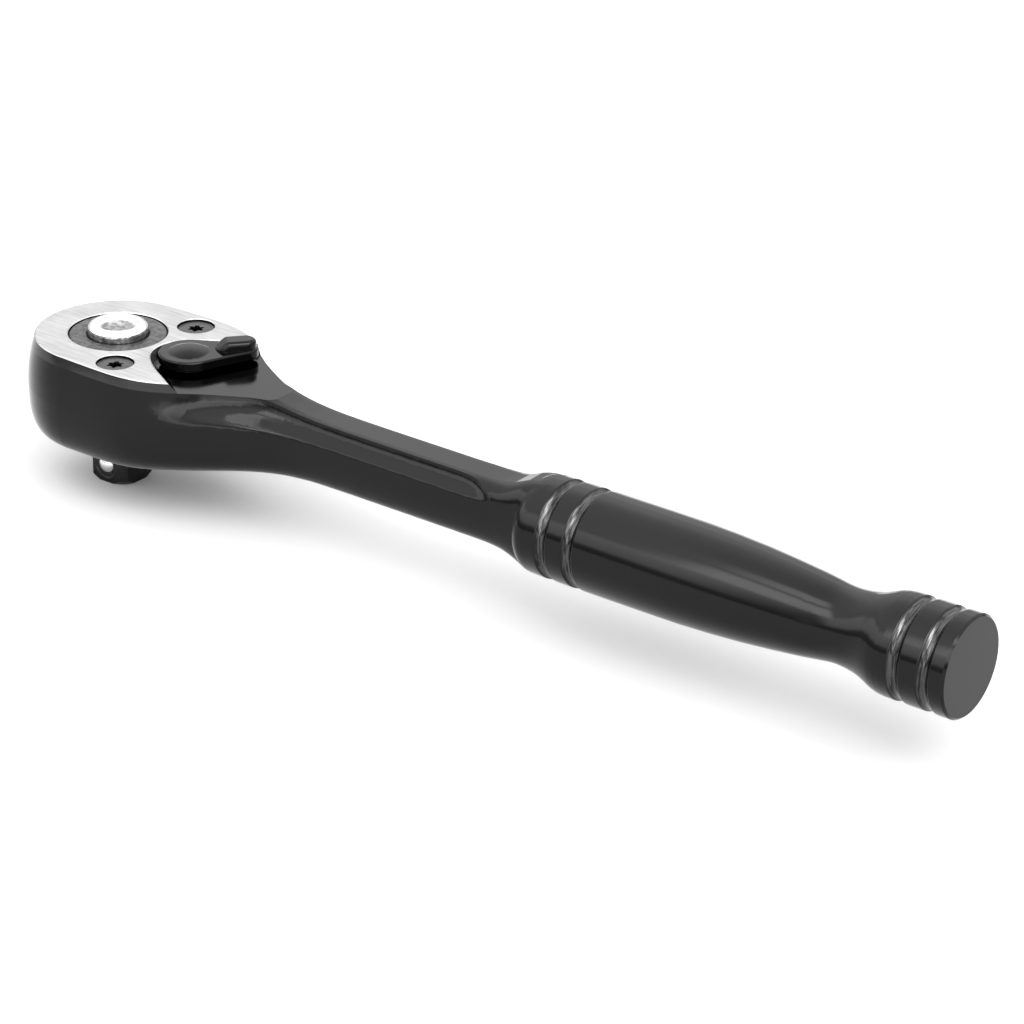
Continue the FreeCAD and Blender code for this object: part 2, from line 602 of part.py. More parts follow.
def shaft_clip():
    """Open snap ring sprung half into the shaft's groove and half into the body's."""
    z = SHAFT_BOTTOM + 0.6
    clip = ring(SHAFT_R - 0.35, SHAFT_R + 0.42, z + 0.05, z + 0.5, LEVER_PIVOT)
    return clip.cut(Part.makeBox(4, 1.2, 4, V(LEVER_PIVOT.x, -0.6, z - 1)))


def reverse_lever():
    """Flat tear-drop lever with a raised thumb pad along its blade."""
    z0, z1 = LEVER_Z
    lever = tear_drop(z0, z1)
    lever = lever.makeFillet(0.28, [e for e in lever.Edges if min(v.Z for v in e.Vertexes) > z1 - 1e-6])
    lever = lever.makeFillet(0.15, [e for e in lever.Edges if max(v.Z for v in e.Vertexes) < z0 + 1e-6])
    lever = lever.fuse(thumb_pad(z1))
    lever = lever.cut(cylinder(1.6, z0 - 1, z1 + 1))
    lever.translate(LEVER_PIVOT)
    return about(lever, LEVER_PIVOT, LEVER_SWING)


def tear_drop(z0, z1):
    """Hub circle and tip circle joined by their tangents, along +X from the pivot."""
    lean = math.acos((LEVER_HUB_R - LEVER_TIP_R) / LEVER_TIP_X)
    side = V(math.cos(lean), math.sin(lean), 0)
    base = V(0, 0, z0)
    tip = V(LEVER_TIP_X, 0, z0)
    hub_up, tip_up = base + side * LEVER_HUB_R, tip + side * LEVER_TIP_R
    hub_low, tip_low = V(hub_up.x, -hub_up.y, z0), V(tip_up.x, -tip_up.y, z0)
    edges = [Part.Arc(hub_up, base - V(LEVER_HUB_R, 0, 0), hub_low).toShape(),
             Part.makeLine(hub_low, tip_low),
             Part.Arc(tip_low, tip + V(LEVER_TIP_R, 0, 0), tip_up).toShape(),
             Part.makeLine(tip_up, hub_up)]
    return Part.Face(Part.Wire(edges)).extrude(V(0, 0, z1 - z0))


def thumb_pad(z):
    """Raised bar with a rounded top, along the blade."""
    a, b = PAD_X
    height = PAD_TOP - z + 0.3
    low = z - 0.3
    edges = [Part.Arc(V(a, PAD_R, low), V(a - PAD_R, 0, low), V(a, -PAD_R, low)).toShape(),
             Part.makeLine(V(a, -PAD_R, low), V(b, -PAD_R, low)),
             Part.Arc(V(b, -PAD_R, low), V(b + PAD_R, 0, low), V(b, PAD_R, low)).toShape(),
             Part.makeLine(V(b, PAD_R, low), V(a, PAD_R, low))]
    pad = Part.Face(Part.Wire(edges)).extrude(V(0, 0, height))
    near, far = a - PAD_R - 0.1, b + PAD_R + 0.1
    side = [V(near, -3, low), V(near, -3, z), V(near + PAD_SLOPE, -3, PAD_TOP), V(far, -3, PAD_TOP),
            V(far, -3, low)]
    pad = pad.common(Part.Face(Part.makePolygon(side + side[:1])).extrude(V(0, 6, 0)))
    rim = [e for e in pad.Edges if min(v.Z for v in e.Vertexes) > z - 1e-3]
    return pad.makeFillet(0.6, rim)


NODES = {
    "wrench_body": wrench_body,
    "cover_plate": cover_plate,
    "cover_screws": cover_screws,
    "drive_gear": drive_gear,
    "thrust_washer": thrust_washer,
    "lower_seal": lower_seal,
    "upper_seal": upper_seal,
    "release_button": release_button,
    "release_spring": release_spring,
    "retaining_ball": retaining_ball,
    "pawl": pawl,
    "selector_shaft": selector_shaft,
    "pawl_plunger": pawl_plunger,
    "pawl_spring": pawl_spring,
    "shaft_seal": shaft_seal,
    "shaft_clip": shaft_clip,
    "reverse_lever": reverse_lever,
}

os.makedirs("parts", exist_ok=True)
for name, build in NODES.items():
    shape = build()
    shape.exportStep("parts/" + name + ".step")
    print(name, len(shape.Solids), round(shape.Volume, 3), shape.isValid())
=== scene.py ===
"""Reversible quick-release ratchet wrench: fine pieces, finishes and a plain studio."""

import logging
import math
from dataclasses import dataclass
from enum import Enum

import bmesh
import bpy
from mathutils import Matrix, Vector


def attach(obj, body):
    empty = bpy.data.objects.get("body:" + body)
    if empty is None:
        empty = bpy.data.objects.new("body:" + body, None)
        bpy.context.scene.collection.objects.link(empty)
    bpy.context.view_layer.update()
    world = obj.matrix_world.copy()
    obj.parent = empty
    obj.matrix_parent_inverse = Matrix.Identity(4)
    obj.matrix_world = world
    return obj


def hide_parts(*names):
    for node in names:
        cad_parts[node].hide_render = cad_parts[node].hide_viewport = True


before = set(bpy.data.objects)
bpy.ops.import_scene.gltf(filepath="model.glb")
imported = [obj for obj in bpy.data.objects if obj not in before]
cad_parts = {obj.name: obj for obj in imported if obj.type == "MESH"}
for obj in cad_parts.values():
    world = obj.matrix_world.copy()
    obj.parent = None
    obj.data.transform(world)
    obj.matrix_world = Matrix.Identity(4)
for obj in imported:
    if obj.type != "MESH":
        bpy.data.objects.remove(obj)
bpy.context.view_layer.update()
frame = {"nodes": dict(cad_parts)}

log = logging.getLogger("ratchet_wrench")

MM = 0.001
Tone = tuple[float, float, float]
Loop = list[bmesh.types.BMEdge]


def grey(level: float) -> Tone:
    """Gives a neutral tone."""
    return (level, level, level)


class Body(Enum):
    """The bodies that the pieces move with."""

    HANDLE = "handle"
    DRIVE = "drive"
    BUTTON = "button"
    BALL = "ball"
    SELECTOR = "selector"
    PLUNGER = "plunger"
    PAWL = "pawl"


# ---------------------------------------------------------------- node trees


class Tree:
    """A node tree being wired up."""

    def __init__(self, tree: bpy.types.NodeTree) -> None:
        """Takes hold of a tree.

        Args:
            tree: The node tree to add nodes to.
        """
        self.tree = tree

    def add(self, kind: str, **settings: object) -> bpy.types.Node:
        """Adds a node.

        Args:
            kind: Blender's name for the node's type.
            **settings: Properties of the node, set after it is made.

        Returns:
            The new node.
        """
        node = self.tree.nodes.new(kind)
        for key, value in settings.items():
            setattr(node, key, value)
        return node

    def link(self, start: bpy.types.NodeSocket, end: bpy.types.NodeSocket) -> None:
        """Joins an output to an input."""
        self.tree.links.new(start, end)

    def math(self, operation: str, first: object, second: object = None,
             clamp: bool = False) -> bpy.types.NodeSocket:
        """Adds a math node.

        Args:
            operation: The sum to do, such as MULTIPLY.
            first: A socket or a number.
            second: A socket or a number, or None for a sum on one value.
            clamp: Whether the answer is kept between 0 and 1.

        Returns:
            The node's output.
        """
        node = self.add("ShaderNodeMath", operation=operation, use_clamp=clamp)
        for value, socket in zip((first, second), node.inputs):
            if isinstance(value, bpy.types.NodeSocket):
                self.link(value, socket)
            elif value is not None:
                socket.default_value = value
        return node.outputs[0]

    def ramp(self, value: bpy.types.NodeSocket, low: float, high: float,
             start: float = 0.0, end: float = 1.0) -> bpy.types.NodeSocket:
        """Maps a value from one range to another, smoothly and clamped.

        Args:
            value: The socket to map.
            low: The value that gives start.
            high: The value that gives end.
            start: Answer at low.
            end: Answer at high.

        Returns:
            The mapped output.
        """
        node = self.add("ShaderNodeMapRange", interpolation_type="SMOOTHSTEP", clamp=True)
        self.link(value, node.inputs["Value"])
        node.inputs["From Min"].default_value = low
        node.inputs["From Max"].default_value = high
        node.inputs["To Min"].default_value = start
        node.inputs["To Max"].default_value = end
        return node.outputs["Result"]

    def mix_tone(self, mask: bpy.types.NodeSocket, first: object, second: object) -> bpy.types.NodeSocket:
        """Mixes two colours by a mask.

        Args:
            mask: 0 gives the first colour and 1 the second.
            first: A colour socket or an RGB tuple.
            second: A colour socket or an RGB tuple.

        Returns:
            The mixed colour.
        """
        node = self.add("ShaderNodeMix", data_type="RGBA")
        self.link(mask, node.inputs["Factor"])
        for value, socket in ((first, node.inputs[6]), (second, node.inputs[7])):
            if isinstance(value, bpy.types.NodeSocket):
                self.link(value, socket)
            else:
                socket.default_value = (*value, 1.0)
        return node.outputs[2]

    def mix_value(self, mask: bpy.types.NodeSocket, first: object, second: object) -> bpy.types.NodeSocket:
        """Mixes two numbers by a mask.

        Args:
            mask: 0 gives the first number and 1 the second.
            first: A socket or a number.
            second: A socket or a number.

        Returns:
            The mixed number.
        """
        node = self.add("ShaderNodeMix", data_type="FLOAT")
        self.link(mask, node.inputs["Factor"])
        for value, socket in ((first, node.inputs[2]), (second, node.inputs[3])):
            if isinstance(value, bpy.types.NodeSocket):
                self.link(value, socket)
            else:
                socket.default_value = value
        return node.outputs[0]

    def place(self, axis: str) -> bpy.types.NodeSocket:
        """Reads one object coordinate.

        Args:
            axis: X, Y or Z.

        Returns:
            The coordinate in metres.
        """
        place = self.add("ShaderNodeTexCoord")
        split = self.add("ShaderNodeSeparateXYZ")
        self.link(place.outputs["Object"], split.inputs["Vector"])
        return split.outputs[axis]

    def noise(self, scale: float, detail: float = 2.0, roughness: float = 0.5,
              stretch: Tone = (1.0, 1.0, 1.0)) -> bpy.types.NodeSocket:
        """Adds noise on object coordinates.

        Args:
            scale: Features per metre.
            detail: Octaves of noise.
            roughness: Strength of the finer octaves.
            stretch: Scale of the coordinates along X, Y and Z.

        Returns:
            The noise, about 0.5.
        """
        place = self.add("ShaderNodeTexCoord")
        mapping = self.add("ShaderNodeMapping")
        mapping.inputs["Scale"].default_value = stretch
        noise = self.add("ShaderNodeTexNoise")
        noise.inputs["Scale"].default_value = scale
        noise.inputs["Detail"].default_value = detail
        noise.inputs["Roughness"].default_value = roughness
        self.link(place.outputs["Object"], mapping.inputs["Vector"])
        self.link(mapping.outputs["Vector"], noise.inputs["Vector"])
        return noise.outputs["Fac"]


class Effect:
    """A shader node group shared by several finishes, made the first time it is asked for."""

    name = ""
    inputs: tuple[tuple[str, float], ...] = ()
    outputs: tuple[str, ...] = ()

    def group(self) -> bpy.types.NodeTree:
        """Gives the group, building it once.

        Returns:
            The node group.
        """
        found = bpy.data.node_groups.get(self.name)
        if found:
            return found
        tree = bpy.data.node_groups.new(self.name, "ShaderNodeTree")
        for label, value in self.inputs:
            socket = tree.interface.new_socket(label, in_out="INPUT", socket_type="NodeSocketFloat")
            socket.default_value = value
        for label in self.outputs:
            tree.interface.new_socket(label, in_out="OUTPUT", socket_type="NodeSocketFloat")
        wiring = Tree(tree)
        start = wiring.add("NodeGroupInput")
        end = wiring.add("NodeGroupOutput")
        self.wire(wiring, start, end)
        return tree

    def wire(self, wiring: Tree, start: bpy.types.Node, end: bpy.types.Node) -> None:
        """Wires the inside of the group.

        Args:
            wiring: The group's tree.
            start: Its input node.
            end: Its output node.
        """
        raise NotImplementedError

    def place(self, wiring: Tree, **values: float) -> bpy.types.Node:
        """Puts the group in a material.

        Args:
            wiring: The material's tree.
            **values: Numbers for the group's inputs, by name with _ for a space.

        Returns:
            The group node.
        """
        node = wiring.add("ShaderNodeGroup", node_tree=self.group())
        for key, value in values.items():
            node.inputs[key.replace("_", " ")].default_value = value
        return node


class EdgeWear(Effect):
    """Mask that is bright on rubbed edges."""

    name = "edge_wear"
    inputs = (("Reach", 0.0003), ("Amount", 0.6))
    outputs = ("Mask",)
    patch_scale = 700.0

    def wire(self, wiring: Tree, start: bpy.types.Node, end: bpy.types.Node) -> None:
        """Compares the true normal with one rounded over the edges, and breaks it up with noise.

        Args:
            wiring: The group's tree.
            start: Its input node.
            end: Its output node.
        """
        rounded = wiring.add("ShaderNodeBevel", samples=4)
        wiring.link(start.outputs["Reach"], rounded.inputs["Radius"])
        true = wiring.add("ShaderNodeNewGeometry")
        dot = wiring.add("ShaderNodeVectorMath", operation="DOT_PRODUCT")
        wiring.link(rounded.outputs["Normal"], dot.inputs[0])
        wiring.link(true.outputs["Normal"], dot.inputs[1])
        bend = wiring.math("SUBTRACT", 1.0, dot.outputs["Value"], clamp=True)
        edge = wiring.ramp(bend, 0.03, 0.22)
        patchy = wiring.ramp(wiring.noise(self.patch_scale, 4.0, 0.6), 0.35, 0.65)
        mask = wiring.math("MULTIPLY", edge, patchy)
        wiring.link(wiring.math("MULTIPLY", mask, start.outputs["Amount"], clamp=True), end.inputs["Mask"])


class SurfaceGrain(Effect):
    """Fine pitting of a surface and slow changes in its sheen."""

    name = "surface_grain"
    inputs = (("Fine", 4000.0), ("Broad", 90.0))
    outputs = ("Height", "Sheen")

    def wire(self, wiring: Tree, start: bpy.types.Node, end: bpy.types.Node) -> None:
        """Runs two noises, each at its own scale.

        Args:
            wiring: The group's tree.
            start: Its input node.
            end: Its output node.
        """
        place = wiring.add("ShaderNodeTexCoord")
        for label, detail, output in (("Fine", 3.0, "Height"), ("Broad", 5.0, "Sheen")):
            noise = wiring.add("ShaderNodeTexNoise")
            noise.inputs["Detail"].default_value = detail
            wiring.link(place.outputs["Object"], noise.inputs["Vector"])
            wiring.link(start.outputs[label], noise.inputs["Scale"])
            wiring.link(wiring.ramp(noise.outputs["Fac"], 0.25, 0.75), end.inputs[output])


class BrushLines(Effect):
    """Fine scratches all running along the handle."""

    name = "brush_lines"
    inputs = (("Depth", 1.0),)
    outputs = ("Height", "Shade")
    close_share = 0.55
    close_stretch = (260.0, 9000.0, 260.0)
    open_stretch = (90.0, 2600.0, 90.0)

    def wire(self, wiring: Tree, start: bpy.types.Node, end: bpy.types.Node) -> None:
        """Adds close and open scratches, both drawn out along X.

        Args:
            wiring: The group's tree.
            start: Its input node.
            end: Its output node.
        """
        close = wiring.noise(1.0, 2.0, 0.6, self.close_stretch)
        open_lines = wiring.noise(1.0, 3.0, 0.7, self.open_stretch)
        both = wiring.math("ADD", wiring.math("MULTIPLY", close, self.close_share),
                           wiring.math("MULTIPLY", open_lines, 1.0 - self.close_share))
        wiring.link(wiring.math("MULTIPLY", both, start.outputs["Depth"]), end.inputs["Height"])
        wiring.link(wiring.ramp(both, 0.3, 0.7), end.inputs["Shade"])


# ---------------------------------------------------------------- finishes


@dataclass(frozen=True)
class Finish:
    """A metal, plating or rubber that covers a whole piece."""

    name: str
    tone: Tone
    worn_tone: Tone
    metallic: float = 1.0
    roughness: float = 0.2
    sheen_change: float = 0.06
    fine: float = 4000.0
    broad: float = 90.0
    pit_depth: float = 0.002
    wear_reach: float = 0.00025
    wear: float = 0.35

    def material(self) -> bpy.types.Material:
        """Gives the finish's material, building it once.

        Returns:
            The material.
        """
        label = self.name + "_finish"
        found = bpy.data.materials.get(label)
        if found:
            return found
        material = bpy.data.materials.new(label)
        material.use_nodes = True
        material.node_tree.nodes.clear()
        wiring = Tree(material.node_tree)
        shader = wiring.add("ShaderNodeBsdfPrincipled")
        output = wiring.add("ShaderNodeOutputMaterial")
        wiring.link(shader.outputs["BSDF"], output.inputs["Surface"])
        shader.inputs["Metallic"].default_value = self.metallic
        self.dress(wiring, shader)
        return material

    def dress(self, wiring: Tree, shader: bpy.types.Node) -> None:
        """Wires colour, roughness and bump.

        Args:
            wiring: The material's tree.
            shader: Its Principled BSDF.
        """
        grain = SurfaceGrain().place(wiring, Fine=self.fine, Broad=self.broad)
        edge = EdgeWear().place(wiring, Reach=self.wear_reach, Amount=self.wear)
        tone = wiring.mix_tone(edge.outputs["Mask"], self.tone, self.worn_tone)
        wiring.link(tone, shader.inputs["Base Color"])
        wiring.link(self.uneven(wiring, grain), shader.inputs["Roughness"])
        self.bump(wiring, shader, grain.outputs["Height"])

    def uneven(self, wiring: Tree, grain: bpy.types.Node) -> bpy.types.NodeSocket:
        """Varies the roughness with the grain's sheen.

        Args:
            wiring: The material's tree.
            grain: The placed surface grain.

        Returns:
            The roughness.
        """
        return wiring.math("ADD", self.roughness - self.sheen_change / 2,
                           wiring.math("MULTIPLY", grain.outputs["Sheen"], self.sheen_change))

    def bump(self, wiring: Tree, shader: bpy.types.Node, height: bpy.types.NodeSocket) -> None:
        """Feeds a height to the shader's normal.

        Args:
            wiring: The material's tree.
            shader: Its Principled BSDF.
            height: The height, 0 to 1 for the full pit depth in millimetres.
        """
        bump = wiring.add("ShaderNodeBump")
        bump.inputs["Strength"].default_value = 1.0
        bump.inputs["Distance"].default_value = self.pit_depth * MM
        wiring.link(height, bump.inputs["Height"])
        wiring.link(bump.outputs["Normal"], shader.inputs["Normal"])


@dataclass(frozen=True)
class GripChrome(Finish):
    """Black chrome with the cutter's marks left in the grip's grooves, and a painted glint along those
    marks.
    """

    grooves: tuple[float, ...] = (74.25, 78.25, 124.1, 128.1)
    groove_half: float = 0.8
    groove_core: float = 0.56
    # Lighter tone along the grooves' marks: a painted glint.
    groove_glint_tone: Tone = grey(0.075)
    mark_depth: float = 0.02
    mark_stretch: Tone = (7000.0, 420.0, 420.0)

    def dress(self, wiring: Tree, shader: bpy.types.Node) -> None:
        """Plates the piece, scores the grooves with the cutter's marks as bump, and lightens the tone along
        the marks as a painted glint.

        Args:
            wiring: The material's tree.
            shader: Its Principled BSDF.
        """
        grain = SurfaceGrain().place(wiring, Fine=self.fine, Broad=self.broad)
        edge = EdgeWear().place(wiring, Reach=self.wear_reach, Amount=self.wear)
        along = wiring.place("X")
        inside = 0.0
        for groove in self.grooves:
            away = wiring.math("ABSOLUTE", wiring.math("SUBTRACT", along, groove * MM))
            near = wiring.ramp(away, self.groove_half * MM, self.groove_core * MM)
            inside = wiring.math("ADD", near, inside, clamp=True)
        marks = wiring.noise(1.0, 3.0, 0.65, self.mark_stretch)
        # Painted glint: the tone is lightened where the cutter's marks run in the grooves.
        painted_glint = wiring.math("MULTIPLY", inside, wiring.ramp(marks, 0.4, 0.6))
        tone = wiring.mix_tone(edge.outputs["Mask"], self.tone, self.worn_tone)
        wiring.link(wiring.mix_tone(painted_glint, tone, self.groove_glint_tone), shader.inputs["Base Color"])
        wiring.link(self.uneven(wiring, grain), shader.inputs["Roughness"])
        score = wiring.math("MULTIPLY", wiring.math("MULTIPLY", inside, marks),
                            self.mark_depth / self.pit_depth)
        self.bump(wiring, shader, wiring.math("ADD", grain.outputs["Height"], score))


@dataclass(frozen=True)
class BrushedPlate(Finish):
    """Bright brushed top over a plated edge."""

    edge_tone: Tone = grey(0.05)
    edge_roughness: float = 0.14
    face_level: float = 20.69
    fade: float = 0.02
    line_share: float = 0.7

    def dress(self, wiring: Tree, shader: bpy.types.Node) -> None:
        """Brushes the faces that look up and plates the rest.

        Args:
            wiring: The material's tree.
            shader: Its Principled BSDF.
        """
        lines = BrushLines().place(wiring, Depth=1.0)
        grain = SurfaceGrain().place(wiring, Fine=self.fine, Broad=self.broad)
        up = wiring.ramp(wiring.place("Z"), (self.face_level - self.fade) * MM,
                         (self.face_level + self.fade) * MM)
        shade = wiring.math("ADD", wiring.math("MULTIPLY", lines.outputs["Shade"], self.line_share),
                            wiring.math("MULTIPLY", grain.outputs["Sheen"], 1.0 - self.line_share))
        bright = wiring.mix_tone(shade, self.tone, self.worn_tone)
        wiring.link(wiring.mix_tone(up, self.edge_tone, bright), shader.inputs["Base Color"])
        rough = wiring.math("ADD", self.roughness,
                            wiring.math("MULTIPLY", lines.outputs["Shade"], self.sheen_change))
        wiring.link(wiring.mix_value(up, self.edge_roughness, rough), shader.inputs["Roughness"])
        self.bump(wiring, shader, wiring.math("MULTIPLY", lines.outputs["Height"], up))


@dataclass(frozen=True)
class SteppedFinish(Finish):
    """One finish above a level of the piece and another below it; on the screws the darker tone below the
    level is painted shade, and on the button it is a painted dark reflection.
    """

    level: float = 0.0
    fade: float = 0.05
    low_tone: Tone = grey(0.03)
    low_roughness: float = 0.3
    mottle: float = 0.0
    low_mottle: float = 0.3
    spot_scale: float = 1500.0

    def dress(self, wiring: Tree, shader: bpy.types.Node) -> None:
        """Changes colour and roughness across the level.

        Args:
            wiring: The material's tree.
            shader: Its Principled BSDF.
        """
        grain = SurfaceGrain().place(wiring, Fine=self.fine, Broad=self.broad)
        edge = EdgeWear().place(wiring, Reach=self.wear_reach, Amount=self.wear)
        above = wiring.ramp(wiring.place("Z"), (self.level - self.fade) * MM, (self.level + self.fade) * MM)
        spots = wiring.ramp(wiring.noise(self.spot_scale, 4.0, 0.65), 0.38, 0.62)
        low, high = (wiring.mix_tone(spots, tuple(channel * (1.0 - mottle) for channel in tone), tone)
                     for tone, mottle in ((self.low_tone, self.low_mottle), (self.tone, self.mottle)))
        tone = wiring.mix_tone(above, low, high)
        worn = wiring.mix_tone(edge.outputs["Mask"], tone, self.worn_tone)
        wiring.link(worn, shader.inputs["Base Color"])
        rough = wiring.mix_value(above, self.low_roughness, self.uneven(wiring, grain))
        wiring.link(rough, shader.inputs["Roughness"])
        self.bump(wiring, shader, grain.outputs["Height"])


BLACK_CHROME = GripChrome("black_chrome", grey(0.02), grey(0.09), roughness=0.12,
                          sheen_change=0.05, pit_depth=0.0008, wear=0.2)
LEVER_BLACK = Finish("gloss_black", grey(0.015), grey(0.1), roughness=0.1,
                     sheen_change=0.06, pit_depth=0.0008, wear=0.5)
PLATE = BrushedPlate("brushed_plate", grey(0.33), grey(0.54), roughness=0.26, sheen_change=0.14,
                     pit_depth=0.006, broad=260.0)
# Below the level the screw is painted near black: painted shade down in the six-lobe recess.
SCREW_STEEL = SteppedFinish("dark_screw", grey(0.075), grey(0.34), roughness=0.34, level=20.38,
                            fade=0.05, low_tone=grey(0.01), low_roughness=0.4, mottle=0.25)
GEAR_STEEL = SteppedFinish("phosphate_steel", grey(0.125), grey(0.26), roughness=0.45, level=16.0,
                           low_tone=grey(0.035), low_roughness=0.28, pit_depth=0.008, mottle=0.5)
# Below the level the chrome is painted darker and spotted: painted dark reflections round the button's
# lower rim.
BUTTON_CHROME = SteppedFinish("polished_chrome", grey(0.82), grey(0.9), roughness=0.1,
                              sheen_change=0.08, pit_depth=0.004, wear=0.1, level=21.6, fade=0.07,
                              low_tone=grey(0.36), low_roughness=0.2, low_mottle=0.6)
BALL_STEEL = Finish("ball_steel", grey(0.75), grey(0.8), roughness=0.12, pit_depth=0.0005, wear=0.0)
SPRING_STEEL = Finish("spring_steel", grey(0.5), grey(0.7), roughness=0.3, pit_depth=0.002)
NITRILE = Finish("nitrile", grey(0.02), grey(0.05), metallic=0.0, roughness=0.55, pit_depth=0.008)


# ---------------------------------------------------------------- sub-assemblies


class Blank:
    """A mesh being worked up, in millimetres until it is finished."""

    def __init__(self) -> None:
        """Starts with an empty mesh."""
        self.shape = bmesh.new()

    def loop(self, radius: float, height: float, segments: int, lobe: float = 0.0) -> Loop:
        """Adds a level loop of edges round the Z axis.

        Args:
            radius: Largest radius of the loop.
            height: Its height.
            segments: Number of edges.
            lobe: Share of the radius by which it dips six times round.

        Returns:
            The loop's edges.
        """
        made = bmesh.ops.create_circle(self.shape, segments=segments, radius=radius)
        for corner in made["verts"]:
            turn = math.atan2(corner.co.y, corner.co.x)
            corner.co *= 1.0 - lobe / 2 + lobe / 2 * math.cos(6 * turn)
            corner.co.z = height
        return list({edge for corner in made["verts"] for edge in corner.link_edges})

    def draw(self, edges: Loop, drop: float, scale: float = 1.0) -> Loop:
        """Draws a loop down into a wall.

        Args:
            edges: The loop to start from.
            drop: How far down the wall goes.
            scale: Size of the lower loop against the upper.

        Returns:
            The lower loop.
        """
        made = bmesh.ops.extrude_edge_only(self.shape, edges=edges)["geom"]
        lower = [part for part in made if isinstance(part, bmesh.types.BMVert)]
        bmesh.ops.scale(self.shape, verts=lower, vec=(scale, scale, 1.0))
        bmesh.ops.translate(self.shape, verts=lower, vec=(0.0, 0.0, -drop))
        return [part for part in made if isinstance(part, bmesh.types.BMEdge)]

    def soften(self, edges: Loop, width: float) -> None:
        """Rounds edges.

        Args:
            edges: The edges to round.
            width: How far the rounding reaches.
        """
        bmesh.ops.bevel(self.shape, geom=edges, offset=width, offset_type="OFFSET", affect="EDGES",
                        segments=3, profile=0.5, material=-1)

    def finish(self, name: str, finish: Finish, body: Body) -> bpy.types.Object:
        """Turns the blank into a piece that rides on a body.

        Args:
            name: The piece's name.
            finish: What it is finished in.
            body: The body it moves with.

        Returns:
            The piece.
        """
        bmesh.ops.remove_doubles(self.shape, verts=self.shape.verts, dist=1e-5)
        bmesh.ops.recalc_face_normals(self.shape, faces=self.shape.faces)
        bmesh.ops.scale(self.shape, verts=self.shape.verts, vec=(MM, MM, MM))
        mesh = bpy.data.meshes.new(name)
        self.shape.to_mesh(mesh)
        self.shape.free()
        mesh.shade_smooth()
        mesh.set_sharp_from_angle(angle=math.radians(40.0))
        mesh.materials.append(finish.material())
        piece = bpy.data.objects.new(name, mesh)
        bpy.context.scene.collection.objects.link(piece)
        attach(piece, body.value)
        return piece


class SubAssembly:
    """Pieces that are put together before they go on the wrench."""

    name = ""
    finishes: dict[str, Finish] = {}

    def dress(self, nodes: dict[str, bpy.types.Object]) -> None:
        """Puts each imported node's finish in its material slots.

        Args:
            nodes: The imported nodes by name.
        """
        for node, finish in self.finishes.items():
            piece = nodes[node]
            if not piece.material_slots:
                piece.data.materials.append(None)
            for material_slot in piece.material_slots:
                material_slot.material = finish.material()
            log.info("%s: %s in %s", self.name, node, finish.name)

    def build(self) -> list[bpy.types.Object]:
        """Makes the sub-assembly's own fine pieces."""
        return []


@dataclass
class Handle(SubAssembly):
    """Forged body, cover plate with its two screws, and the bits held under them."""

    screw_places: tuple[tuple[float, float], ...] = ((6.73, -7.9), (6.73, 7.9))
    screw_top: float = 20.5
    head_radius: float = 2.43
    head_band: float = 0.3
    head_cone: float = 0.98
    shank_radius: float = 1.45
    length: float = 7.0
    tip: float = 0.4
    recess_radius: float = 1.15
    recess_depth: float = 1.1
    recess_lobe: float = 0.32
    rim: float = 0.1
    lip: float = 0.05
    segments: int = 72

    name = "handle"
    finishes = {"wrench_body": BLACK_CHROME, "cover_plate": PLATE, "thrust_washer": SPRING_STEEL,
                "shaft_seal": NITRILE, "shaft_clip": SPRING_STEEL}

    def build(self) -> list[bpy.types.Object]:
        """Makes the two cover screws as one piece.

        Returns:
            The new pieces.
        """
        blank = Blank()
        for place in self.screw_places:
            self.screw(blank, place)
        screws = blank.finish("cover_screw_pair", SCREW_STEEL, Body.HANDLE)
        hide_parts("cover_screws")
        return [screws]

    def screw(self, blank: Blank, place: tuple[float, float]) -> None:
        """Makes one countersunk screw with a six-lobe recess.

        Args:
            blank: The mesh to add it to.
            place: X and Y of its axis.
        """
        before = set(blank.shape.verts)
        rim = blank.loop(self.head_radius, self.screw_top, self.segments)
        mouth = blank.loop(self.recess_radius, self.screw_top, self.segments, self.recess_lobe)
        bmesh.ops.bridge_loops(blank.shape, edges=rim + mouth)
        floor = blank.draw(mouth, self.recess_depth, 0.9)
        bmesh.ops.contextual_create(blank.shape, geom=floor)
        seat = blank.draw(rim, self.head_band)
        neck = blank.draw(seat, self.head_cone, self.shank_radius / self.head_radius)
        foot = blank.draw(neck, self.length - self.head_band - self.head_cone - self.tip)
        end = blank.draw(foot, self.tip, (self.shank_radius - self.tip) / self.shank_radius)
        bmesh.ops.contextual_create(blank.shape, geom=end)
        blank.soften(rim, self.rim)
        blank.soften([edge for edge in mouth if edge.is_valid], self.lip)
        made = [corner for corner in blank.shape.verts if corner not in before]
        bmesh.ops.translate(blank.shape, verts=made, vec=(*place, 0.0))


